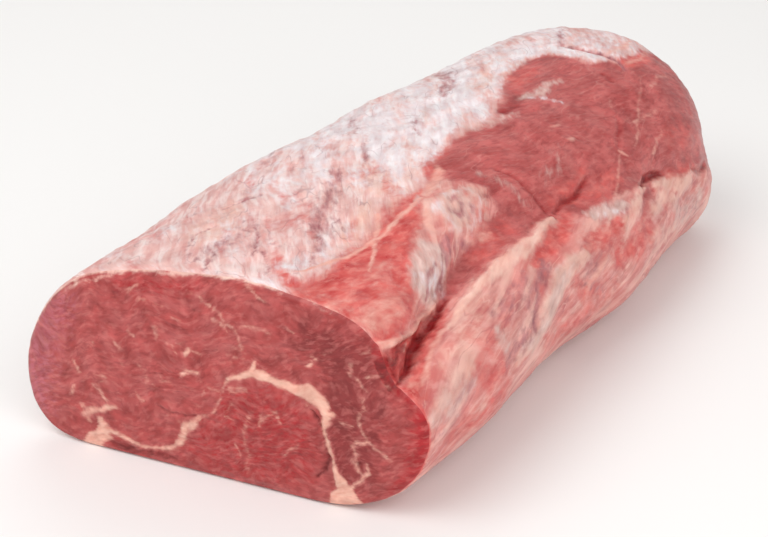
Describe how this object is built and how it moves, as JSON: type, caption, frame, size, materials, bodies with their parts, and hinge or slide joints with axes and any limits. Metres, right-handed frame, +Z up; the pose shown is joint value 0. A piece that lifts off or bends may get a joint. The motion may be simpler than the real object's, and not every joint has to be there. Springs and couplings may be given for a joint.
{
  "type": "beef cube roll",
  "caption": "Whole raw boneless rib-eye roll of beef, lying on its flat rib side, cut across at both ends, with a fat cover and a seam along one shoulder.",
  "frame": {"origin": "under the middle of the roll, on the surface that it lies on", "axes": "+Y along the roll, away from the broad front cut, +Z up, +X to the side that has the seam"},
  "size_m": [0.192, 0.3734, 0.1021],
  "materials": {
    "raw_beef": "moist red lean with a pale pink fat cover on top and down one side, cream fat seams in the cut faces"
  },
  "bodies": {
    "root": {"beef_cube_roll": "raw_beef"}
  },
  "joints": []
}
